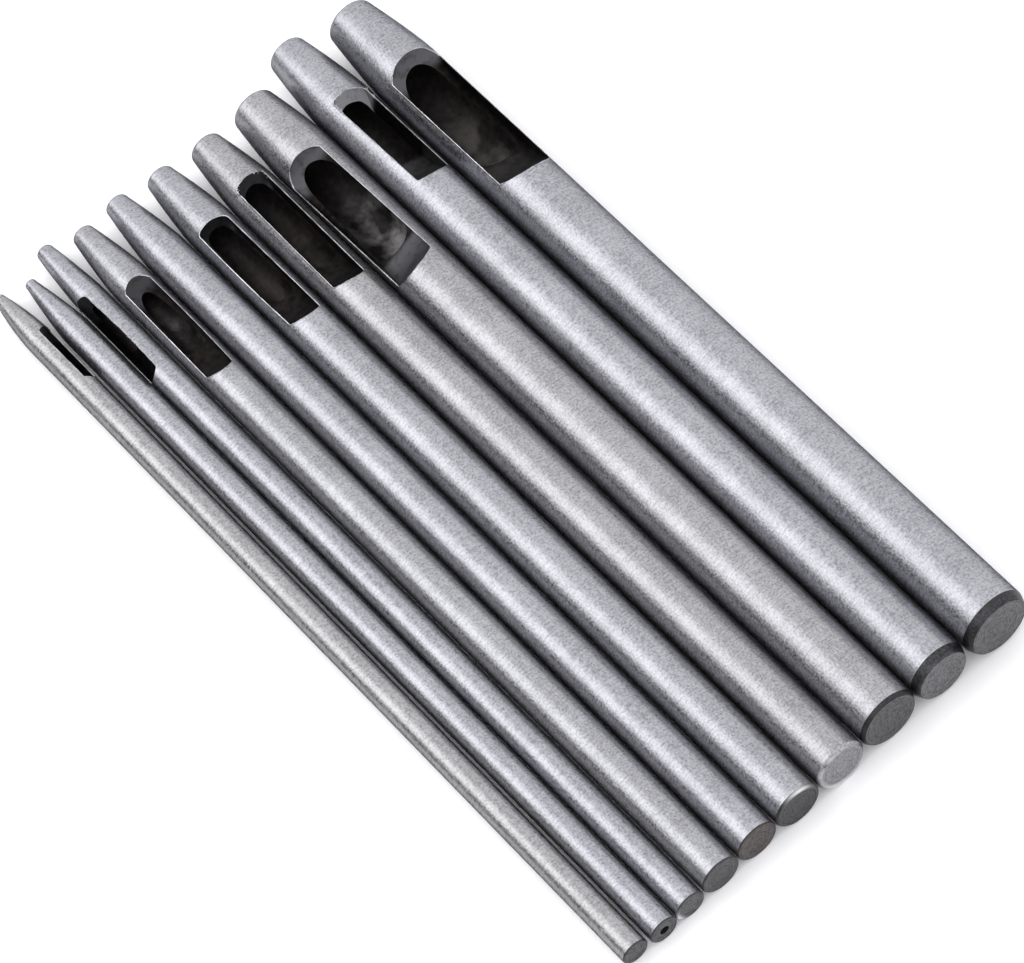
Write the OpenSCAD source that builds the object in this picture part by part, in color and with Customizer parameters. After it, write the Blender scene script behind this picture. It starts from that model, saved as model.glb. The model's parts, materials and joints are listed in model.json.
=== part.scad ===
// Set of ten leather hole punches, laid side by side in a row on a flat surface.
// Each punch is one piece of steel bar: a round shank that is struck on its butt,
// a tapered tip that is ground to a round cutting edge, a bore that runs in from
// the edge, and a window milled into the side, where the leather slugs come out.
//
// +Y runs along the punches from butt to tip, +X towards the thickest punch, +Z up.
// The origin is under the middle of the row, on the surface that it lies on.
// Every list has one entry for each punch, in the order in which they lie,
// from the thickest at +X to the thinnest at -X.

/* [Cutting ends] */
// Diameter of the hole that each punch cuts
bore_d = [5.0, 4.0, 4.5, 3.5, 3.0, 2.5, 2.0, 1.5, 1.0, 0.5]; // [0.5:0.5:5]
// Steel around the bore where the taper ends, just behind the edge
tip_wall = [0.5, 0.45, 0.52, 0.35, 0.3, 0.25, 0.4, 0.32, 0.2, 0.42]; // [0.2:0.02:0.6]
// Steel that is left at the cutting edge itself
edge_wall = 0.08; // [0.04:0.01:0.15]
// Length of the short bevel that sharpens the edge
bevel_l = 0.5; // [0.3:0.05:1]
// Length of the taper between the shank and the bevel
taper_l = [10, 10, 8.5, 9, 9, 9, 8.5, 8.5, 8.5, 8]; // [7:0.5:11]
// How full each taper is: 1 is a straight cone, more is rounder near the edge
taper_bow = [1.35, 1.35, 1.35, 1.35, 1.35, 1.35, 1.35, 1.35, 1.35, 1.8]; // [1:0.05:2]

/* [Shanks] */
// Steel around the bore in each shank
shank_wall = [1.5, 1.5, 1.35, 1.35, 1.35, 1.3, 1.4, 1.07, 1.23, 1.36]; // [1:0.01:1.6]
// Length of each punch over all
length = [109, 111, 108, 108.5, 109.5, 110.5, 110.5, 112.5, 110.5, 111.5]; // [100:0.5:120]
// Length of the bevel round the struck end
butt_bevel_l = [1.1, 1.1, 0.5, 0.4, 0.25, 0.15, 0.15, 0.15, 0.15, 0.15]; // [0.1:0.05:1.2]
// Width of the bevel round the struck end, from its face to the shank
butt_bevel_w = [0.45, 0.45, 0.3, 0.35, 0.2, 0.12, 0.12, 0.12, 0.12, 0.12]; // [0.1:0.01:0.5]

/* [Slug windows] */
// Distance from the cutting edge to the near end of each window
window_gap = [10.9, 11.2, 10.9, 8.5, 10.6, 10, 10.4, 8.8, 8.7, 7.4]; // [7:0.1:12]
// Length of each window at the shank's surface
window_l = [21.8, 15.6, 21.1, 19.1, 17.6, 17, 16.7, 14.2, 12.5, 9.4]; // [9:0.1:24]
// Width of each window as a share of the shank's diameter
window_w = [0.83, 0.6, 0.76, 0.61, 0.66, 0.62, 0.68, 0.65, 0.62, 0.62]; // [0.6:0.01:0.84]
// Turn of each punch about its own axis: 0 has its window on top, more tips it towards -X
roll = [-14, -18, 22, -4, 0, 150, 2, 57, -160, -56]; // [-180:1:180]
// Small turn of each window across the shank, from the milling
skew = [0.2, 0.8, 1.2, -0.4, 0.3, 0, -0.4, 0.5, 0, 0.4]; // [-1.5:0.1:1.5]
// Radius of the disc cutter that mills the windows
cutter_r = 6; // [5:0.5:8]
// Height of each window's floor above the axis, as a share of the shank's radius
floor_h = 0.15; // [0:0.01:0.2]
// Distance by which the bore stops short of the far end of its window
bore_short = 5; // [4:0.1:6]

/* [Row] */
// Air between each punch and the next, which lie side by side
gap = [0.1, 0.1, 0.1, 0.1, 0.1, 0.1, 0.1, 0.1, 0.3]; // [0.1:0.05:1]
// Distance by which each butt lies back from the row's front line
set_back = [0, 0.25, 0.35, 0.2, 0.15, 0.3, 0.2, 0.1, 0, 0.3]; // [0:0.05:0.5]
// Diameter of the centre hole in the butt of the 1 mm punch
centre_hole_d = 1.1; // [0.8:0.1:1.2]
// Depth of that centre hole
centre_hole_l = 6; // [3:0.5:10]

/* [Hidden] */
$fn = 96;
drill_point = 59;       // half the angle of a twist drill's point
taper_steps = 8;        // cones that make up the rounded taper
relief_min = 0.03;      // least that a bore widens by, on its radius
relief_share = 0.93;    // width of a bore's wide end as a share of its window's
clear = 1;              // overrun of a cut past the surface that it opens
plunge = 0.02;          // how far the cutter dips below the floor at each end of its path

function bore_r(i) = bore_d[i] / 2;
function shank_r(i) = bore_r(i) + shank_wall[i];
function shank_d(i) = 2 * shank_r(i);
function window_half(i) = window_w[i] * shank_r(i);
function relief_r(i) = max(bore_r(i) + relief_min, relief_share * window_half(i));

// Width of the row before punch i: the punches 0 to i - 1, with the air after each
function row_before(i) = i == 0 ? 0 : row_before(i - 1) + shank_d(i - 1) + gap[i - 1];
last = len(bore_d) - 1;
row_w = row_before(last) + shank_d(last);
function row_x(i) = row_w / 2 - row_before(i) - shank_r(i);
row_l = max([for (i = [0 : last]) set_back[i] + length[i]]);
function row_y(i) = set_back[i] - row_l / 2;

// Outline of a punch from its axis outwards: [radius, distance from the butt]
function taper_point(i, t) = [
    shank_r(i) - (shank_wall[i] - tip_wall[i]) * pow(t, taper_bow[i]),
    length[i] - bevel_l - taper_l[i] * (1 - t)
];
function outline(i) = concat(
    [[0, 0], [shank_r(i) - butt_bevel_w[i], 0], [shank_r(i), butt_bevel_l[i]]],
    [for (k = [0 : taper_steps]) taper_point(i, k / taper_steps)],
    [[bore_r(i) + edge_wall, length[i]], [0, length[i]]]
);

// Bore: cutting size from the edge to the window, then slowly wider down to its drilled end
module bore(i) {
    window_near = length[i] - window_gap[i];
    bore_end = window_near - window_l[i] + bore_short;
    rotate_extrude() polygon([
        [0, bore_end - relief_r(i) / tan(drill_point)],
        [relief_r(i), bore_end],
        [bore_r(i), window_near],
        [bore_r(i), length[i] + clear],
        [0, length[i] + clear]
    ]);
}

// Path of the disc cutter: a flat floor between two ends with the cutter's own curve
module window_cut(i) {
    floor_z = floor_h * shank_r(i);
    depth = shank_r(i) - floor_z;
    run_out = sqrt(2 * cutter_r * depth - depth * depth);
    width = 2 * window_half(i);
    near = length[i] - window_gap[i] - run_out;
    far = length[i] - window_gap[i] - window_l[i] + run_out;
    mid = (near + far) / 2;
    travel = max(near - far, 0);
    translate([0, mid, floor_z + cutter_r]) rotate([0, 0, skew[i]]) {
        for (side = [-1, 1])
            translate([0, side * travel / 2, 0]) rotate([0, 90, 0])
                cylinder(r = cutter_r, h = width, center = true);
        cube([width, travel, 2 * (cutter_r - plunge)], center = true);
    }
}

// One punch along +Y with its butt at 0 and its window on top
module punch(i) {
    difference() {
        rotate([-90, 0, 0]) difference() {
            rotate_extrude() polygon(outline(i));
            bore(i);
        }
        window_cut(i);
    }
}

// A punch in its place in the row, lying on the surface
module in_row(i) translate([row_x(i), row_y(i), shank_r(i)]) rotate([0, -roll[i], 0]) punch(i);

module punch_5_0_mm() color("#a9a9ae") in_row(0);

module punch_4_0_mm() color("#b2b2b7") in_row(1);

module punch_4_5_mm() color("#aaaaae") in_row(2);

module punch_3_5_mm() color("#a6a6a9") in_row(3);

module punch_3_0_mm() color("#acacb2") in_row(4);

module punch_2_5_mm() color("#b0b0b5") in_row(5);

module punch_2_0_mm() color("#a8a8ad") in_row(6);

module punch_1_5_mm() color("#a9a9ac") in_row(7);

// This shank also has a small centre hole in its butt, left from turning it
module punch_1_0_mm() {
    i = 8;
    point_l = centre_hole_d / 2 / tan(drill_point);
    color("#adadb1") difference() {
        in_row(i);
        translate([row_x(i), row_y(i), shank_r(i)]) rotate([-90, 0, 0]) {
            translate([0, 0, -clear]) cylinder(d = centre_hole_d, h = centre_hole_l + clear);
            translate([0, 0, centre_hole_l]) cylinder(d1 = centre_hole_d, d2 = 0, h = point_l);
        }
    }
}

module punch_0_5_mm() color("#a5a5a6") in_row(9);

punch_5_0_mm();
punch_4_0_mm();
punch_4_5_mm();
punch_3_5_mm();
punch_3_0_mm();
punch_2_5_mm();
punch_2_0_mm();
punch_1_5_mm();
punch_1_0_mm();
punch_0_5_mm();
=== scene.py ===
import json
import math

import bpy
import numpy as np
from mathutils import Matrix, Vector


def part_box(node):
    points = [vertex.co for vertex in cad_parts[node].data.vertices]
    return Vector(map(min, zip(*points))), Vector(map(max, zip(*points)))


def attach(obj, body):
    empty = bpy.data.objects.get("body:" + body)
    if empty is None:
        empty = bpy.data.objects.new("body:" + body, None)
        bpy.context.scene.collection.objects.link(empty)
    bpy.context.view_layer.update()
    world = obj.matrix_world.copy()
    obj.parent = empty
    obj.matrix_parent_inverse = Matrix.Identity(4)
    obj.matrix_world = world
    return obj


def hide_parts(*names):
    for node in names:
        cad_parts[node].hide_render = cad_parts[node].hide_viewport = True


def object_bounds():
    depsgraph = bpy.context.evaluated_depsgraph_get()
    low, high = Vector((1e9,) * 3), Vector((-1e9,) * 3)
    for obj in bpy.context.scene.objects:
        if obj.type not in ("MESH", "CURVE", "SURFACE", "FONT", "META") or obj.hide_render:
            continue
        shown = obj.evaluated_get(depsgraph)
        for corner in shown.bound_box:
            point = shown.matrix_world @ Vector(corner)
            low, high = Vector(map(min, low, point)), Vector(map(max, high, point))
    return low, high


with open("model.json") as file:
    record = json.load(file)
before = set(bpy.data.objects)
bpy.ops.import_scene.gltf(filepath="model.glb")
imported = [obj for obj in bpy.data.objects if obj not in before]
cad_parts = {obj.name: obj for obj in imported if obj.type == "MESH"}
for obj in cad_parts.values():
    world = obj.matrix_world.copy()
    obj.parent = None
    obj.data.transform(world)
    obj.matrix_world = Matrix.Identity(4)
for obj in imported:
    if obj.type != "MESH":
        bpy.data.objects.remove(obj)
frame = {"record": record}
cad_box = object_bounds()


# ---- The 5.0 mm punch ----------------------------------------------------------------------------
# One bar of tool steel, centreless ground, its tip ground to a slow bowed taper. The bore is drilled
# and reamed from the edge, a disc cutter mills the window, and the butt is turned with a bevel.
# Lengths here are in millimetres: s runs along the bar from its butt, u across it, v to the window.

MM = 0.001
SIDES = 96             # facets round the bar
TOP_SIDES = 28         # those from each rim of the window down to the bar's side
SIDE_ANGLE = math.radians(105)
RIM_STEPS, WALL_STEPS, FLOOR_STEPS, BUTT_STEPS = 4, 8, 9, 40
CUTTER_RADIUS = 6.0    # of the disc that mills the windows
FLOOR_SHARE = 0.15     # height of a window's floor over the axis, as a share of the shank's radius
EDGE_WALL = 0.08       # steel left at the cutting edge
EDGE_BEVEL = 0.5       # length of the bevel that sharpens the edge
BORE_SHORT = 5.1       # how far the bore stops before the window's far end
BORE_ROUND = 0.6       # length of the bore's round end, as a share of its radius there
SAME = 1e-4            # cuts closer than this are one
GROUND, MILLED, BORED, STRUCK = range(4)
mounts = {m["name"]: m for m in frame["record"]["mounts"]}


def crossing(f, a, b):
    """The place between a and b where f changes sign."""
    above = f(a) > 0
    for _ in range(40):
        m = (a + b) / 2
        a, b = (m, b) if (f(m) > 0) == above else (a, m)
    return round((a + b) / 2, 6)


def rising(value, start, end):
    """Smooth step from 0 at start to 1 at end, either way round."""
    q = np.clip((value - start) / (end - start), 0, 1)
    return q * q * (3 - 2 * q)


class Punch:
    """The sizes of one punch. Its place, length, shank and bore come from the frame."""

    def __init__(self, size, taper, butt_bevel, window, roll, skew=0, slant=(0, 0), rim=0.12, bow=(0, 0),
                 tip_end=None, clean=(0.8, 0.1), shine=(0.5, 0.5, 0.5, 0.3), ragged=0.0, dull_bevel=False,
                 peened=None, centre_hole=None):
        self.size, self.body = size, "punch_" + size
        low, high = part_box(self.body)
        self.radius, self.length = (high.z - low.z) / 2 / MM, (high.y - low.y) / MM
        self.x, self.y = (low.x + high.x) / 2 / MM, low.y / MM
        self.bore = mounts["cutting_bore_" + size]["dims"]["r_mm"]
        self.taper_length, self.tip_wall, self.taper_bow = taper
        self.butt_bevel, self.slant, self.rim, self.bow = butt_bevel, slant, rim, bow
        self.tip_end, self.clean, self.ragged, self.peened = tip_end, clean, ragged, peened
        self.shine, self.dull_bevel, self.centre_hole = shine, dull_bevel, centre_hole
        gap, opening, width = window
        self.near = self.length - gap
        self.far = self.near - opening
        self.half = width * self.radius
        self.roll, self.skew = math.radians(roll), math.radians(skew)
        self.relief = max(self.bore + 0.03, 0.93 * self.half)
        self.bore_point = self.far + BORE_SHORT
        self.bore_end = self.bore_point + BORE_ROUND * self.relief
        self.floor = FLOOR_SHARE * self.radius
        depth = self.radius - self.floor
        self.run_out = math.sqrt(2 * CUTTER_RADIUS * depth - depth * depth)
        middle = (self.near + self.far) / 2
        steel = lambda s: self.outside(s) - self.floor_height(s)
        hole = lambda s: self.inside(s) - self.floor_height(s)
        self.opens, self.closes = crossing(steel, self.far - 1, middle), crossing(steel, self.near + 1,
            middle)
        self.corner = min(0.55, 0.4 * self.half)
        straight = self.half - self.corner
        across = lambda s: self.floor_height(s) ** 2 + straight**2 - self.outside(s) ** 2
        self.corner_opens = crossing(across, self.far - 1, middle)
        self.corner_closes = crossing(across, middle, self.near + 1)
        self.mouth_opens = crossing(hole, self.bore_point, self.bore_end)
        self.mouth_closes = crossing(hole, self.near + 1, self.bore_end + 1)

    def outside(self, s):
        """Radius of the bar: rounded bevel at the butt, shank, bowed taper, rounded edge."""
        tip, taper_end = self.bore + self.tip_wall, self.length - EDGE_BEVEL
        t = np.clip((s - taper_end + self.taper_length) / self.taper_length, 0, 1)
        q = np.clip((s - taper_end) / EDGE_BEVEL, 0, 1)
        b = np.clip(1 - s / self.butt_bevel[0], 0, 1)
        r = self.radius - (self.radius - tip) * t**self.taper_bow
        return r - (self.tip_wall - EDGE_WALL) * (1 - np.sqrt(1 - q * q)) - self.butt_bevel[1] * b**1.25

    def inside(self, s):
        """Radius of the bore: cutting size from the edge to the window, then slowly wider, and round
        at its drilled end."""
        wide = np.interp(s, [self.bore_end, self.near], [self.relief, self.bore])
        q = np.clip((self.bore_end - s) / (self.bore_end - self.bore_point), 0, 1)
        return wide * np.sqrt(1 - q * q)

    def floor_height(self, s):
        """Height of the window's floor over the axis. It curves up at both ends with the disc, or
        steeply at the tip's end, where the cut was made another way."""
        d = self.far + self.run_out - s
        if not self.tip_end:
            d = np.maximum(d, s - self.near + self.run_out)
        d = np.clip(d, 0, CUTTER_RADIUS)
        v = self.floor + CUTTER_RADIUS - np.sqrt(CUTTER_RADIUS**2 - d * d)
        if self.tip_end:
            run, power = self.tip_end
            v = v + (self.radius - self.floor) * np.maximum((s - self.near + run) / run, 0) ** power
        return v

    def wall(self, s, side):
        """Distance of the window's wall from the middle, on the side +1 or -1."""
        q = np.clip((s - self.far) / (self.near - self.far), 0, 1)
        drift = side * math.tan(self.skew) * (s - (self.near + self.far) / 2)
        near = s - self.corner_opens
        if self.tip_end:
            near = min(near, self.corner_closes - s)
        miss = self.corner - min(max(near, 0), self.corner)
        rounded = self.corner - math.sqrt(self.corner**2 - miss * miss)
        return self.half - drift + self.bow[side < 0] * math.sin(math.pi * q) - rounded

    def marks(self, points, rim):
        """Where the tools left which marks, and where highlight and shade are painted, from 0 to 1 at each
        point (u, v, s).
        """
        u, v, s = points.T
        away = np.hypot(u, v)
        butt = np.clip((self.length / 2 - s) * 1e9, 0, 1)
        flat = self.radius - self.butt_bevel[1]
        at = self.place(points) / MM
        low, high = np.array(cad_box[0]) / MM, np.array(cad_box[1]) / MM
        room = np.clip(np.minimum(at - low, high - at).min(axis=1) / 0.2, 0, 1)
        # Painted highlight: the window's rims are whitened by a share for each rim and for the tip's and
        # butt's ends, set by how light falls on them.
        a = rising(s, self.corner_closes - 0.8, self.corner_closes - 0.4)
        b = rising(s, self.corner_opens + 0.9, self.corner_opens + 0.5)
        sides = np.where(u > 0, self.shine[0], self.shine[1])
        painted_highlight = rim * (sides * (1 - a - b) + self.shine[2] * a + self.shine[3] * b)
        on_butt = (s < SAME) * (away < 0.98 * flat)
        within = np.abs(away - self.inside(s)) < 1e-3
        # The run-outs' grey is partly the cleaner cut and partly painted light: at the tip it stops sooner
        # on the +u rim, which lies in shade, as painted shade.
        tip_run = rising(s, self.near - np.where(u > 0, 2.2, 3.4), self.near - np.where(u > 0, 1.0, 2.0))
        butt_run = rising(s, self.far + 5.4, self.far + 4.6)
        made = {
            "rim": rim * room,
            "painted_highlight": painted_highlight,
            "bevelled": self.dull_bevel * (away > flat - 0.02) * rising(s, self.butt_bevel[0] + 0.03,
                self.butt_bevel[0]),
            "clean": self.clean[0] * tip_run + self.clean[1] * butt_run,
            "ragged": self.ragged * rim * room * rising(s, self.near - 2.6, self.near - 1.6),
            "turned": np.where(on_butt, away, 0) * butt,
            "bored": within * rising(s, self.length - 2, self.length - 6) * (s > SAME),
            # Lighter patches over the bore's lower half, under the open window, fading towards the tip.
            "lower_bore_patches": rising(s, self.near - 3, self.bore_end + 1) * np.clip(0.5 - v / self.radius, 0,
                1) * 1.4,
            "peened": np.zeros(len(s)),
        }
        if self.peened:
            at, width, reach = self.peened
            turn = np.angle(np.exp(1j * (np.arctan2(u, v) - math.radians(at))))
            edge = np.exp(-((away - flat) / 0.3) ** 2) * np.exp(-(s / reach) ** 2)
            made["peened"] = edge * np.exp(-(turn / math.radians(width)) ** 2)
            # The burr is whitened with the same painted highlight.
            made["painted_highlight"] = np.maximum(made["painted_highlight"], made["peened"])
            made["peened"] = made["peened"] * room
        return made

    def place(self, points):
        """Moves points (u, v, s) to the row, with the window's ends slanted, in metres."""
        u, v, s = points.T
        near, far = self.slant
        share = np.clip((s - self.far) / (self.near - self.far), 0, 1)
        away = np.maximum(self.far - s, s - self.near) / 4
        ease = 1 - np.clip(away, 0, 1)
        s = s + u * (far + (near - far) * share) * ease * ease * (3 - 2 * ease)
        c, k = math.cos(self.roll), math.sin(self.roll)
        x, z = self.x + u * c - v * k, self.radius + u * k + v * c
        return np.stack([x, self.y + s, z], axis=1) * MM


def cuts_along(p):
    """Places of the cuts across the bar, close together where the window and the bore open."""
    ease = 1.5 * np.linspace(0, 1, 15) ** 2
    rounding = 1 - np.cos(np.linspace(0, math.pi / 2, 12))
    bevel = p.butt_bevel[0]
    fixed = np.concatenate([
        bevel * np.linspace(0, 1, 9) ** 1.5, [bevel + 0.06, bevel + 0.2],
        p.length - EDGE_BEVEL * (1 - np.sin(np.linspace(0, 1.5708, 10))),
        p.opens + ease, p.closes - ease, p.mouth_opens + ease, p.mouth_closes - ease,
        p.bore_point + (p.bore_end - p.bore_point) * rounding, [p.length, p.near],
        p.corner_opens + p.corner * rounding, p.corner_closes - p.corner * rounding,
    ])
    free = np.concatenate([
        np.arange(bevel, p.far - 2, 0.9), np.arange(p.far - 2, p.near + 1, 0.2),
        np.arange(p.near + 1, p.length - EDGE_BEVEL, 0.35),
    ])
    fixed = np.unique(np.round(fixed, 6))
    fixed = fixed[np.concatenate([[True], np.diff(fixed) > SAME])]
    far_off = np.abs(free[:, None] - fixed[None]).min(axis=1) > 0.06
    return np.sort(np.concatenate([fixed, free[far_off]]))


def ring_angles(plus, minus):
    """Angles round a ring from the window's +u rim, under the bar, to its -u rim."""
    top = np.linspace(0, 1, TOP_SIDES + 1)
    under = np.linspace(SIDE_ANGLE, 2 * math.pi - SIDE_ANGLE, SIDES - 2 * TOP_SIDES + 1)[1:-1]
    down, up = plus + (SIDE_ANGLE - plus) * top, minus + (SIDE_ANGLE - minus) * top[::-1]
    return np.concatenate([down, under, 2 * math.pi - up])


def ring(radius, angles, s):
    return np.stack([radius * np.sin(angles), radius * np.cos(angles), np.full(len(angles), s)], axis=1)


def half_window(p, s, side):
    """Half of the window in the cut at s: rim, wall and floor, from the bar's skin to the bore.
    Returns its points, the angle at which the skin starts and the one at which the bore does."""
    r, hole = float(p.outside(s)), float(p.inside(s))
    shut = s - p.opens < SAME or p.closes - s < SAME
    open_mouth = s - p.mouth_opens > SAME and p.mouth_closes - s > SAME
    floor = r if shut else min(float(p.floor_height(s)), r)
    w = min(float(p.wall(s, side)), math.sqrt(r * r - floor * floor))
    lip = math.sqrt(r * r - w * w)
    mouth = min(math.sqrt(max(hole * hole - floor * floor, 0)), w) if open_mouth else 0.0
    corners = np.array([[w, lip], [w, floor], [mouth, floor]])
    drop, whole = lip - floor, lip - floor + w - mouth
    rim = min(p.rim, whole / 2, w / 2)
    skin = math.asin(min(w / r, 1)) + rim / r
    lengths = [0, drop + 1e-9, whole + 2e-9]
    corner = max(drop, rim)
    at = np.concatenate([
        [rim], rim + (corner - rim) * np.linspace(0, 1, WALL_STEPS + 1)[1:],
        corner + (whole - corner) * np.linspace(0, 1, FLOOR_STEPS + 1)[1:],
    ])
    path = np.stack([np.interp(at, lengths, corners[:, k]) for k in (0, 1)], axis=1)
    path[-1] = corners[2]
    start = np.array([r * math.sin(skin), r * math.cos(skin)])
    t = np.linspace(0, 1, RIM_STEPS + 1)[:-1, None]
    bend = (1 - t) ** 2 * start + 2 * t * (1 - t) * corners[0] + t * t * path[0]
    points = np.column_stack([np.concatenate([bend, path]), np.full(RIM_STEPS + len(path), s)])
    points[:, 0] *= side
    return points, 0.0 if shut else skin, math.atan2(mouth, floor) if mouth else 0.0


def sheets_of(p):
    """The punch's surfaces as grids of points: (grid, finish, whether its faces turn round)."""
    skin, hole, plus, minus = [], [], [], []
    for s in cuts_along(p):
        skin_angles = hole_angles = (0.0, 0.0)
        if p.opens - SAME < s < p.closes + SAME:
            right, a, b = half_window(p, s, 1)
            left, c, d = half_window(p, s, -1)
            plus.append(right)
            minus.append(left)
            skin_angles, hole_angles = (a, c), (b, d)
        skin.append(ring(float(p.outside(s)), ring_angles(*skin_angles), s))
        if s > p.bore_point - SAME:
            hole.append(ring(float(p.inside(s)), ring_angles(*hole_angles), s))
    sheets = [(skin, GROUND, False), (plus, MILLED, True), (minus, MILLED, False),
              (hole, BORED, True), ([hole[-1], skin[-1]], GROUND, True)]
    start = 0.0
    if p.centre_hole:
        radius, depth = p.centre_hole
        start = radius / float(p.outside(0))
        mouth = skin[0] * [start, start, 1]
        drilled = [mouth * [t, t, 1] + [0, 0, depth - radius * t / 2] for t in (0, 0.5, 1)]
        drilled += [mouth + [0, 0, depth * t] for t in (0.75, 0.5, 0.25, 0.1, 0)]
        sheets.append((drilled, BORED, False))
    butt = [skin[0] * [t, t, 1] for t in np.linspace(start, 1, BUTT_STEPS)]
    return sheets + [(butt, STRUCK, False)]


def stitched(p):
    """One closed mesh from sheets whose borders meet: points that they share become one."""
    points, rims, faces, finishes, first = [], [], [], [], 0
    for rows, finish, turned in sheets_of(p):
        grid = np.array(rows)
        n, m = grid.shape[:2]
        rim = np.zeros((n, m))
        if finish == MILLED:
            rim[:, :RIM_STEPS + 1] = np.sin(np.linspace(0, math.pi, RIM_STEPS + 1))
        at = first + np.arange(n * m).reshape(n, m)
        quads = np.stack([at[:-1, :-1], at[:-1, 1:], at[1:, 1:], at[1:, :-1]], -1)
        kinds = np.full((n - 1, m - 1), finish)
        if finish == MILLED:
            kinds[:, :RIM_STEPS] = GROUND
        if finish == GROUND and p.dull_bevel:
            kinds[grid[:-1, 0, 2] < p.butt_bevel[0] - SAME] = STRUCK
        points.append(grid.reshape(-1, 3))
        rims.append(rim.ravel())
        faces.append(quads.reshape(-1, 4)[:, ::-1 if turned else 1])
        finishes.append(kinds.ravel())
        first += n * m
    points, rims, faces, finishes = map(np.concatenate, (points, rims, faces, finishes))
    _, one, same = np.unique(np.round(points, 5), axis=0, return_index=True, return_inverse=True)
    same = same.reshape(-1)
    made, kept = [], []
    for f, k in zip(same[faces].tolist(), finishes.tolist()):
        f = [a for j, a in enumerate(f) if a != f[j - 1]]
        if len(f) > 2 and len(set(f)) == len(f):
            made.append(f)
            kept.append(k)
    rim = np.zeros(len(one))
    np.maximum.at(rim, same, rims)
    return p.place(points[one]), made, kept, p.marks(points[one], rim)


def linear(hex_colour):
    """An sRGB hex colour as the linear one that Blender's sockets take."""
    parts = [int(hex_colour[k:k + 2], 16) / 255 for k in (1, 3, 5)]
    return [c / 12.92 if c <= 0.04045 else ((c + 0.055) / 1.055) ** 2.4 for c in parts] + [1]


def add(tree, kind, inputs=None, **settings):
    """Adds a node with its settings. inputs maps a socket to a value or to the socket that feeds it."""
    made = tree.nodes.new(kind)
    for name, value in settings.items():
        setattr(made, name, value)
    for name, value in (inputs or {}).items():
        if isinstance(value, bpy.types.NodeSocket):
            tree.links.new(value, made.inputs[name])
        else:
            made.inputs[name].default_value = value
    return made


def maths(tree, operation, *values):
    return add(tree, "ShaderNodeMath", dict(enumerate(values)), operation=operation).outputs[0]


def per_mm(size):
    """Noise scale, in cells to the metre, whose cells are this many millimetres across."""
    return 1 / (size * MM)


# The marks that the tools leave: burr along the window's rims, slivers where the cut tore, the
# drill's roughness in the bore, and the rings that the lathe leaves in the butt.
marks = bpy.data.node_groups.new("working_marks", "GeometryNodeTree")
for name, kind in (
    ("Geometry", "Geometry"), ("Burr Height", "Float"), ("Tear Height", "Float"), ("Bore Roughness",
        "Float"),
    ("Ring Depth", "Float"), ("Ring Pitch", "Float"), ("Sliver Density", "Float"), ("Sliver Length",
        "Float"),
    ("Sliver Width", "Float"), ("Seed", "Int"), ("Steel", "Material"),
):
    marks.interface.new_socket(name, in_out="INPUT", socket_type="NodeSocket" + kind)
marks.interface.new_socket("Geometry", in_out="OUTPUT", socket_type="NodeSocketGeometry")
given = add(marks, "NodeGroupInput").outputs
where = add(marks, "GeometryNodeInputPosition").outputs[0]


def mark(name):
    return add(marks, "GeometryNodeInputNamedAttribute", {"Name": name}, data_type="FLOAT").outputs[
        "Attribute"]


def uneven(cell):
    """Noise from 0 to 1 whose cells are this many millimetres across."""
    inputs = {"Vector": where, "W": given["Seed"], "Scale": per_mm(cell), "Detail": 2.0}
    return add(marks, "ShaderNodeTexNoise", inputs, noise_dimensions="4D").outputs[0]


def product(*values):
    made = values[0]
    for value in values[1:]:
        made = maths(marks, "MULTIPLY", made, value)
    return made


burr = product(mark("rim"), given["Burr Height"], maths(marks, "MULTIPLY_ADD", uneven(0.7), 2.4, -0.5))
tear = product(mark("ragged"), given["Tear Height"], maths(marks, "MULTIPLY_ADD", uneven(0.4), 3.0, -1.0))
drilled = product(mark("bored"), given["Bore Roughness"], maths(marks, "SUBTRACT", uneven(1.1), 0.5))
lip = product(mark("peened"), given["Tear Height"], 2.0, uneven(0.5))
turned = mark("turned")
wave = maths(marks, "SINE", maths(marks, "DIVIDE", product(turned, 2 * math.pi * MM), given["Ring Pitch"]))
cut = maths(marks, "MULTIPLY_ADD", wave, -0.5, -0.5)
on_butt = maths(marks, "GREATER_THAN", turned, 0.0)
height = product(on_butt, given["Ring Depth"], cut)
for part in (burr, tear, drilled, lip):
    height = maths(marks, "ADD", height, part)
out = add(marks, "GeometryNodeInputNormal").outputs[0]
offset = add(marks, "ShaderNodeVectorMath", {0: out, "Scale": height}, operation="SCALE").outputs[0]
worked = add(marks, "GeometryNodeSetPosition", {"Geometry": given["Geometry"], "Offset": offset}).outputs[0]
density = product(mark("ragged"), given["Sliver Density"])
spots = add(marks, "GeometryNodeDistributePointsOnFaces", {"Mesh": worked, "Density": density,
    "Seed": given["Seed"]})
sliver = add(marks, "GeometryNodeMeshCone", {
    "Vertices": 4, "Side Segments": 1, "Fill Segments": 1, "Radius Top": 0.00001,
    "Radius Bottom": given["Sliver Width"], "Depth": given["Sliver Length"]}).outputs[0]
sliver = add(marks, "GeometryNodeStoreNamedAttribute", {"Geometry": sliver, "Name": "sliver",
    "Value": 1.0}).outputs[0]
size = add(marks, "FunctionNodeRandomValue", {
    "Min": (0.4, 0.4, 0.3), "Max": (1.5, 1.0, 1.3), "Seed": given["Seed"]},
        data_type="FLOAT_VECTOR").outputs[0]
slivers = add(marks, "GeometryNodeInstanceOnPoints", {
    "Points": spots.outputs["Points"], "Instance": sliver, "Rotation": spots.outputs["Rotation"],
    "Scale": size}).outputs[0]
both = add(marks, "GeometryNodeJoinGeometry")
for part in (slivers, worked):
    marks.links.new(part, both.inputs[0])
real = add(marks, "GeometryNodeRealizeInstances", {"Geometry": both.outputs[0]}).outputs[0]
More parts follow.
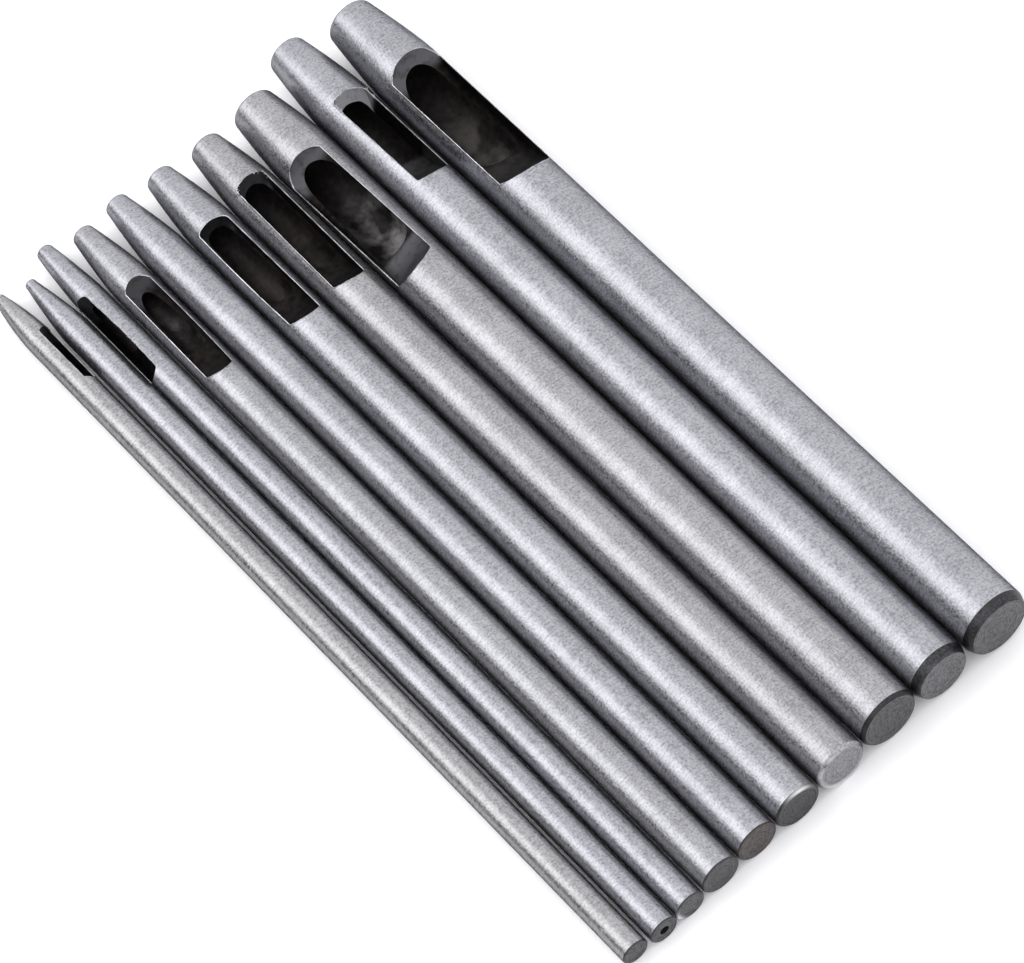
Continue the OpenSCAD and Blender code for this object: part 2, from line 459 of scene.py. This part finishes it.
whole = add(marks, "GeometryNodeSetMaterial", {
    "Geometry": real, "Selection": mark("sliver"), "Material": given["Steel"]}).outputs[0]
add(marks, "NodeGroupOutput", {"Geometry": whole})


def made_piece(p, materials, seed):
    """The finished punch as one plain mesh, with its tools' marks on it."""
    points, faces, finishes, attributes = stitched(p)
    mesh = bpy.data.meshes.new("bar")
    mesh.from_pydata(points.tolist(), [], faces)
    for material in materials:
        mesh.materials.append(material)
    mesh.polygons.foreach_set("material_index", finishes)
    for name, values in attributes.items():
        mesh.attributes.new(name, "FLOAT", "POINT").data.foreach_set("value", values.astype(np.float32))
    piece = bpy.data.objects.new("steel_" + p.body, mesh)
    bpy.context.scene.collection.objects.link(piece)
    modifier = piece.modifiers.new("working_marks", "NODES")
    modifier.node_group = marks
    values = {
        "Burr Height": 0.07 * MM, "Tear Height": 0.12 * MM, "Bore Roughness": 0.16 * MM,
            "Ring Depth": 0.03 * MM,
        "Ring Pitch": 0.42 * MM, "Sliver Density": 2.2e7, "Sliver Length": 0.28 * MM,
            "Sliver Width": 0.06 * MM,
        "Seed": seed, "Steel": materials[GROUND]}
    for item in marks.interface.items_tree:
        if item.in_out == "INPUT" and item.name in values:
            modifier[item.identifier] = values[item.name]
    seen = bpy.context.evaluated_depsgraph_get()
    finished = bpy.data.meshes.new_from_object(piece.evaluated_get(seen), preserve_all_data_layers=True,
        depsgraph=seen)
    piece.modifiers.remove(modifier)
    piece.data = finished
    bpy.data.meshes.remove(mesh)
    finished.name = piece.name
    finished.shade_smooth()
    finished.set_sharp_from_angle(angle=math.radians(38))
    return piece


def ramp(tree, value, *stops):
    made = add(tree, "ShaderNodeValToRGB", {"Fac": value})
    for k, (place, colour) in enumerate(stops):
        stop = made.color_ramp.elements[k] if k < 2 else made.color_ramp.elements.new(place)
        stop.position, stop.color = place, linear(colour)
    return made.outputs["Color"]


def mixed(tree, share, a, b):
    return add(tree, "ShaderNodeMix", {0: share, 6: a, 7: b}, data_type="RGBA").outputs[2]


def material(name):
    made = bpy.data.materials.new(name)
    made.use_nodes = True
    made.node_tree.nodes.clear()
    return made, made.node_tree


def ground_steel(p, tone="#acacb1", dark="#828287"):
    """Centreless-ground bare steel: satin, with a grain that glitters and faint lines round the bar.
    A painted highlight whitens its window's rims and burrs in patches. The grain is drawn at 0.24 mm,
    coarser than the wheel's grit."""
    made, tree = material("ground_tool_steel_" + p.size)
    where = add(tree, "ShaderNodeTexCoord").outputs["Object"]
    moved = add(tree, "ShaderNodeMapping", {"Vector": where, "Location": [-p.x * MM, 0,
        -p.radius * MM]}).outputs[0]
    round_it = add(tree, "ShaderNodeMapping", {"Vector": moved, "Scale": [0.14, 1, 0.14]}).outputs[0]
    grain = add(tree, "ShaderNodeTexNoise", {"Vector": moved, "Scale": per_mm(0.24),
        "Detail": 2.0}).outputs[0]
    cloud = add(tree, "ShaderNodeTexNoise", {"Vector": moved, "Scale": per_mm(5), "Detail": 3.0}).outputs[0]
    lines = add(tree, "ShaderNodeTexNoise", {"Vector": round_it, "Scale": per_mm(0.2),
        "Detail": 2.0}).outputs[0]
    fine = maths(tree, "MULTIPLY_ADD", grain, 0.6, maths(tree, "MULTIPLY", lines, 0.25))
    shade = maths(tree, "MULTIPLY_ADD", cloud, 0.15, fine)
    patchy = add(tree, "ShaderNodeTexNoise", {"Vector": moved, "Scale": per_mm(1.6),
        "Detail": 3.0}).outputs[0]
    patchy = add(tree, "ShaderNodeMapRange", {"Value": patchy, "From Min": 0.35, "From Max": 0.6,
        "To Min": 0.15}).outputs[0]
    # Painted highlight: near-white, less metallic colour in patches wherever the highlight share is set.
    painted_highlight = maths(tree, "MULTIPLY", patchy, add(tree, "ShaderNodeAttribute",
        attribute_name="painted_highlight").outputs["Fac"])
    colour = mixed(tree, painted_highlight, ramp(tree, shade, (0.38, dark), (0.62, tone)), linear("#ececee"))
    rough = add(tree, "ShaderNodeMapRange", {
        "Value": grain, "From Min": 0.3, "From Max": 0.7, "To Min": 0.27, "To Max": 0.42}).outputs[0]
    metal = maths(tree, "MULTIPLY_ADD", painted_highlight, -0.5, 1.0)
    relief = maths(tree, "MULTIPLY_ADD", lines, 0.4, grain)
    bump = add(tree, "ShaderNodeBump", {"Height": relief, "Strength": 0.8,
        "Distance": 0.03 * MM}).outputs[0]
    skin = add(tree, "ShaderNodeBsdfPrincipled", {
        "Base Color": colour, "Metallic": metal, "Roughness": rough, "Normal": bump,
        "Specular Tint": linear("#6a6a6a")})
    add(tree, "ShaderNodeOutputMaterial", {"Surface": skin.outputs[0]})
    return made


def milled_steel(p, tone="#242120", dark="#131110", bright="#545457"):
    """Milled tool steel: dark and dull on the walls, where oil and scale stay, greyer where the disc
    ran out of the bar, a grey that is partly painted light."""
    made, tree = material("milled_window_steel_" + p.size)
    where = add(tree, "ShaderNodeTexCoord").outputs["Object"]
    cloud = add(tree, "ShaderNodeTexNoise", {"Vector": where, "Scale": per_mm(0.9),
        "Detail": 5.0}).outputs[0]
    clean = add(tree, "ShaderNodeAttribute", attribute_name="clean").outputs["Fac"]
    colour = mixed(tree, clean, ramp(tree, cloud, (0.35, dark), (0.65, tone)), ramp(tree, cloud, (0.1,
        tone), (0.5, bright)))
    bump = add(tree, "ShaderNodeBump", {"Height": cloud, "Strength": 0.3, "Distance": 0.08 * MM}).outputs[0]
    skin = add(tree, "ShaderNodeBsdfPrincipled", {"Base Color": colour, "Metallic": 1.0,
        "Roughness": 0.5, "Normal": bump})
    add(tree, "ShaderNodeOutputMaterial", {"Surface": skin.outputs[0]})
    return made


def bored_steel(p, tone="#26211f", dark="#110f0e", patch_tone="#423e3d"):
    """Drilled and oil-blackened bore: nearly black, with lighter patches over its lower half, under the
    window.
    """
    made, tree = material("bored_steel_" + p.size)
    where = add(tree, "ShaderNodeTexCoord").outputs["Object"]
    cloud = add(tree, "ShaderNodeTexNoise", {"Vector": where, "Scale": per_mm(0.8),
        "Detail": 6.0}).outputs[0]
    patch = add(tree, "ShaderNodeTexNoise", {"Vector": where, "Scale": per_mm(3.5),
        "Detail": 3.0}).outputs[0]
    lower_bore_patches = add(tree, "ShaderNodeAttribute", attribute_name="lower_bore_patches").outputs["Fac"]
    spread = add(tree, "ShaderNodeMapRange", {"Value": patch, "From Min": 0.42,
        "From Max": 0.62}).outputs[0]
    share = maths(tree, "MULTIPLY", lower_bore_patches, spread)
    colour = mixed(tree, share, ramp(tree, cloud, (0.4, dark), (0.75, tone)), ramp(tree, cloud, (0.1,
        tone), (0.5, patch_tone)))
    bump = add(tree, "ShaderNodeBump", {"Height": cloud, "Strength": 0.6, "Distance": 0.12 * MM}).outputs[0]
    skin = add(tree, "ShaderNodeBsdfPrincipled", {"Base Color": colour, "Metallic": 0.7,
        "Roughness": 0.6, "Normal": bump})
    add(tree, "ShaderNodeOutputMaterial", {"Surface": skin.outputs[0]})
    return made


def struck_steel(p, tone="#6c6c6e", dark="#4a4a4b", bevel="#2f2f30"):
    """Turned butt: grey steel with the lathe's rings, dulled by the mallet."""
    made, tree = material("turned_butt_steel_" + p.size)
    where = add(tree, "ShaderNodeTexCoord").outputs["Object"]
    moved = add(tree, "ShaderNodeMapping", {"Vector": where, "Location": [-p.x * MM, -p.y * MM,
        -p.radius * MM]}).outputs[0]
    away = add(tree, "ShaderNodeVectorMath", {0: moved}, operation="LENGTH").outputs["Value"]
    rings = add(tree, "ShaderNodeTexNoise", {"W": away, "Scale": per_mm(0.4), "Detail": 2.0},
        noise_dimensions="1D").outputs[0]
    grit = add(tree, "ShaderNodeTexNoise", {"Vector": where, "Scale": per_mm(0.3),
        "Detail": 4.0}).outputs[0]
    both = maths(tree, "MULTIPLY_ADD", rings, 0.3, maths(tree, "MULTIPLY", grit, 0.7))
    turned = add(tree, "ShaderNodeAttribute", attribute_name="bevelled").outputs["Fac"]
    colour = mixed(tree, turned, ramp(tree, both, (0.38, dark), (0.6, tone)), ramp(tree, both, (0.35,
        bevel), (0.7, dark)))
    # Painted highlight: the burr at the butt's edge is whitened.
    painted_highlight = add(tree, "ShaderNodeAttribute", attribute_name="painted_highlight").outputs["Fac"]
    colour = mixed(tree, painted_highlight, colour, linear("#d2d2d4"))
    bump = add(tree, "ShaderNodeBump", {"Height": both, "Strength": 0.6, "Distance": 0.05 * MM}).outputs[0]
    skin = add(tree, "ShaderNodeBsdfPrincipled", {"Base Color": colour, "Metallic": 1.0,
        "Roughness": 0.45, "Normal": bump})
    add(tree, "ShaderNodeOutputMaterial", {"Surface": skin.outputs[0]})
    return made


punch = Punch("5_0_mm", taper=(10, 0.5, 1.35), butt_bevel=(1.1, 0.45), window=(10.9, 21.8, 0.83), roll=-14,
              skew=0.2, slant=(0, -0.06), clean=(1.0, 0.1), shine=(0.1, 0.8, 0.3, 0.3), dull_bevel=True)
piece = made_piece(punch, [ground_steel(punch), milled_steel(punch), bored_steel(punch), struck_steel(
    punch)], seed=1)
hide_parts(punch.body)
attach(piece, punch.body)


# ---- The 4.0 mm punch ----------------------------------------------------------------------------
# A ground bar of tool steel, laid between the two thickest. The cutter left its window with a steep
# torn end on the tip's side, and its butt has a turned bevel as wide as the first one's.

punch = Punch("4_0_mm", taper=(10, 0.45, 1.35), butt_bevel=(1.1, 0.45), window=(11.2, 15.6, 0.6), roll=-18,
              skew=0.8, slant=(-0.16, 0), tip_end=(1.9, 1.6), clean=(1.0, 0.1), shine=(0.6, 0.2, 1, 0.2),
              ragged=1.0, dull_bevel=True)
piece = made_piece(punch, [ground_steel(punch), milled_steel(punch, bright="#a3a2a6"), bored_steel(
    punch, patch_tone="#2b2725"),
                           struck_steel(punch, "#7a7a7c", "#525254")], seed=2)
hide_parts(punch.body)
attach(piece, punch.body)


# ---- The 4.5 mm punch ----------------------------------------------------------------------------
# A ground bar of tool steel, rolled towards the thin end of the row, so its window shows the mid-grey
# ramp that the disc cut at the butt's side. Its butt has only a narrow bevel.

punch = Punch("4_5_mm", taper=(8.5, 0.52, 1.35), butt_bevel=(0.5, 0.3), window=(10.9, 21.1, 0.76), roll=22,
              skew=1.2, clean=(1.0, 0.75), rim=0.16, shine=(0.7, 0.8, 0.4, 0.2), dull_bevel=True)
piece = made_piece(punch, [ground_steel(punch, "#ababae", "#818184"), milled_steel(punch), bored_steel(
    punch, patch_tone="#716f70"),
                           struck_steel(punch, "#646465", "#444445")], seed=3)
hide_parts(punch.body)
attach(piece, punch.body)


# ---- The 3.5 mm punch ----------------------------------------------------------------------------
# A ground bar of tool steel, more worn than the others: the tip's end of its window is torn, and the
# butt is hammered round, with a burr at its lower edge whitened by a painted highlight.

punch = Punch("3_5_mm", taper=(9, 0.35, 1.35), butt_bevel=(0.4, 0.35), window=(8.5, 19.1, 0.61), roll=-4,
              skew=-0.4, slant=(0, -0.18), tip_end=(1.5, 1.6), clean=(0.6, 0), shine=(0.7, 0.5, 0.5, 0.2),
              ragged=0.7, peened=(200, 60, 0.5))
piece = made_piece(punch, [ground_steel(punch, "#aaaaac", "#808082"), milled_steel(punch), bored_steel(
    punch, patch_tone="#38322f"),
                           struck_steel(punch, "#98989b", "#707073")], seed=4)
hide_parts(punch.body)
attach(piece, punch.body)


# ---- The 3.0 mm punch ----------------------------------------------------------------------------
# A ground bar of tool steel. Its window ends in a straight step at the tip's side, its rim whitened by a
# painted highlight, and the saw left a burr over the top of its butt, painted bright the same way.

punch = Punch("3_0_mm", taper=(9, 0.3, 1.35), butt_bevel=(0.25, 0.2), window=(10.6, 17.6, 0.66), roll=0,
              skew=0.3, slant=(-0.1, -0.14), tip_end=(1.2, 2), bow=(0, 0.12), clean=(0.3, 0),
              shine=(0.8, 0.6, 1, 0.3), rim=0.16, dull_bevel=True, peened=(15, 30, 0.3))
piece = made_piece(punch, [ground_steel(punch), milled_steel(punch), bored_steel(punch, patch_tone="#2f2a28"),
                           struck_steel(punch, "#565657", "#39393a", "#39393a")], seed=5)
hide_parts(punch.body)
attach(piece, punch.body)


# ---- The 2.5 mm punch ----------------------------------------------------------------------------
# A ground bar of tool steel, lying on its window, so that only its plain back shows from above.
# Its butt is sawn and faced, with hardly any bevel.

punch = Punch("2_5_mm", taper=(9, 0.25, 1.35), butt_bevel=(0.15, 0.12), window=(10, 17, 0.62), roll=150,
              dull_bevel=True)
piece = made_piece(punch, [ground_steel(punch), milled_steel(punch), bored_steel(punch),
                           struck_steel(punch, "#635e5d", "#443f3e", "#443f3e")], seed=6)
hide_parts(punch.body)
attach(piece, punch.body)


# ---- The 2.0 mm punch ----------------------------------------------------------------------------
# A ground bar of tool steel. Its window is round at the tip's side, with a grey crescent where the
# disc ran out, kept short on its shaded rim by painted shade, and it bows out a little towards the thick
# punches.

punch = Punch("2_0_mm", taper=(8.5, 0.4, 1.35), butt_bevel=(0.15, 0.12), window=(10.4, 16.7, 0.68), roll=2,
              skew=-0.4, slant=(0, -0.14), bow=(0.12, 0), clean=(0.8, 0), shine=(0.5, 0.7, 0.6, 0.3),
                  dull_bevel=True)
piece = made_piece(punch, [ground_steel(punch, "#ababaf", "#818185"), milled_steel(punch,
    bright="#403f42"), bored_steel(punch, patch_tone="#5c585c"),
                           struck_steel(punch, "#616163", "#434345", "#434345")], seed=7)
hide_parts(punch.body)
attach(piece, punch.body)


# ---- The 1.5 mm punch ----------------------------------------------------------------------------
# A ground bar of tool steel, rolled well over to the thin side, so its window is seen from its upper
# rim, which bows in one long arc. The saw left a nick at the top of its butt.

punch = Punch("1_5_mm", taper=(8.5, 0.32, 1.35), butt_bevel=(0.15, 0.12), window=(8.8, 14.2, 0.65), roll=57,
              skew=0.5, bow=(0.12, 0), clean=(0.3, 0), shine=(0.6, 0, 0.3, 0.3), dull_bevel=True,
              peened=(-50, 30, 0.3))
piece = made_piece(punch, [ground_steel(punch), milled_steel(punch), bored_steel(punch, patch_tone="#2f2a28"),
                           struck_steel(punch, "#69696b", "#484849", "#484849")], seed=8)
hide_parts(punch.body)
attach(piece, punch.body)


# ---- The 1.0 mm punch ----------------------------------------------------------------------------
# A ground bar of tool steel, lying on its window. It is the only one whose butt keeps the hole that
# the lathe's centre drill made.

punch = Punch("1_0_mm", taper=(8.5, 0.2, 1.35), butt_bevel=(0.15, 0.12), window=(8.7, 12.5, 0.62),
    roll=-160,
              dull_bevel=True, centre_hole=(0.55, 6))
piece = made_piece(punch, [ground_steel(punch), milled_steel(punch), bored_steel(punch),
                           struck_steel(punch, "#666668", "#464647", "#464647")], seed=9)
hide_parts(punch.body)
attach(piece, punch.body)


# ---- The 0.5 mm punch ----------------------------------------------------------------------------
# A ground bar of tool steel, the thinnest bore in nearly the thinnest bar, rolled to the thick side.
# Its short window runs a little askew.

punch = Punch("0_5_mm", taper=(8, 0.42, 1.8), butt_bevel=(0.15, 0.12), window=(7.4, 9.4, 0.62),
    roll=-56, skew=0.4,
              clean=(0.3, 0), shine=(0, 0.4, 0.3, 0.3), dull_bevel=True)
piece = made_piece(punch, [ground_steel(punch, "#aaaaab", "#808081"), milled_steel(punch), bored_steel(
    punch),
                           struck_steel(punch, "#666668", "#464647", "#464647")], seed=10)
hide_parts(punch.body)
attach(piece, punch.body)


# ---- The studio: a pale floor, soft lights and the camera ----------------------------------------
# The row lies on a seamless pale sheet. A large softbox hangs over the tips, to the thin punches'
# side.

low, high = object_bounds()
middle = (low + high) / 2
sheet = bpy.data.meshes.new("pale_floor")
FLOOR_HALF = 1.5
corners = [(-FLOOR_HALF, -FLOOR_HALF, 0), (FLOOR_HALF, -FLOOR_HALF, 0), (FLOOR_HALF, FLOOR_HALF, 0), (
    -FLOOR_HALF, FLOOR_HALF, 0)]
sheet.from_pydata(corners, [], [(0, 1, 2, 3)])
floor = bpy.data.objects.new("pale_floor", sheet)
bpy.context.scene.collection.objects.link(floor)
paper, tree = material("matt_white_paper")
skin = add(tree, "ShaderNodeBsdfPrincipled", {"Base Color": linear("#f4f4f4"), "Roughness": 0.9})
add(tree, "ShaderNodeOutputMaterial", {"Surface": skin.outputs[0]})
sheet.materials.append(paper)


def softbox(name, aim, towards, distance, size, power):
    """A soft rectangular light that hangs at a distance in a direction and faces its aim."""
    light = bpy.data.lights.new(name, "AREA")
    light.shape, light.size, light.size_y, light.energy = "RECTANGLE", size[0], size[1], power
    box = bpy.data.objects.new(name, light)
    way = Vector(towards).normalized()
    box.location = Vector(aim) + way * distance
    box.rotation_euler = way.to_track_quat("Z", "Y").to_euler()
    bpy.context.scene.collection.objects.link(box)
    return box


softbox("key_softbox", middle, (-0.45, 0.49, 0.75), 0.9, (0.5, 0.8), 1.3)

# The air of the studio: even on the thick punches' side and overhead, brighter past the top, and
# dark low down on the thin punches' side, as a black card would make it.
air = bpy.data.worlds.new("studio_air")
bpy.context.scene.world = air
air.use_nodes = True
tree = air.node_tree
tree.nodes.clear()
way = add(tree, "ShaderNodeSeparateXYZ", {0: add(tree, "ShaderNodeTexCoord").outputs["Generated"]})
across = add(tree, "ShaderNodeMath", {0: way.outputs["X"], 1: -1.0}, operation="MULTIPLY").outputs[0]
lean = add(tree, "ShaderNodeMath", {0: across, 1: way.outputs["Z"]}, operation="ARCTAN2").outputs[0]
share = add(tree, "ShaderNodeMapRange", {"Value": lean, "From Min": -math.pi,
    "From Max": math.pi}).outputs[0]
dome = add(tree, "ShaderNodeValToRGB", {"Fac": share})
for k, (degrees, grey) in enumerate([(-180, 0.6), (-5, 0.57), (10, 0.66), (44, 0.92), (57, 0.55), (70,
    0.1), (80, 0.02), (180, 0.02)]):
    stop = dome.color_ramp.elements[k] if k < 2 else dome.color_ramp.elements.new(0.9)
    stop.position, stop.color = (degrees + 180) / 360, (grey, grey, grey * 1.02, 1)
seen = add(tree, "ShaderNodeLightPath").outputs["Is Camera Ray"]
shown = add(tree, "ShaderNodeMix", {0: seen, 6: dome.outputs["Color"], 7: linear("#f2f2f2")},
    data_type="RGBA")
glow = add(tree, "ShaderNodeBackground", {"Color": shown.outputs[2], "Strength": 2.4})
add(tree, "ShaderNodeOutputWorld", {"Surface": glow.outputs[0]})

# The camera looks down on the row from behind the butts, turned so that the row runs across the frame.
AZIMUTH, ELEVATION, TILT = math.radians(-18.73), math.radians(58.67), math.radians(-24.0)
DISTANCE, LENS = 0.5907, 194.98
back = Vector((math.sin(AZIMUTH) * math.cos(ELEVATION), -math.cos(AZIMUTH) * math.cos(ELEVATION),
    math.sin(ELEVATION)))
side = Vector((0, 0, 1)).cross(back).normalized()
over = back.cross(side)
right = side * math.cos(TILT) + over * math.sin(TILT)
up = over * math.cos(TILT) - side * math.sin(TILT)
aim = Vector(((low.x + high.x) / 2 - 0.00009, (low.y + high.y) / 2 - 0.00388, 0))
lens = bpy.data.cameras.new("camera")
lens.sensor_width, lens.lens = 36, LENS
lens.clip_start, lens.clip_end = 0.05, 10
camera = bpy.data.objects.new("camera", lens)
camera.matrix_world = Matrix([[right[k], up[k], back[k], (aim + back * DISTANCE)[k]] for k in range(
    3)] + [[0, 0, 0, 1]])
bpy.context.scene.collection.objects.link(camera)
bpy.context.scene.camera = camera
bpy.context.scene.view_settings.view_transform = "Standard"
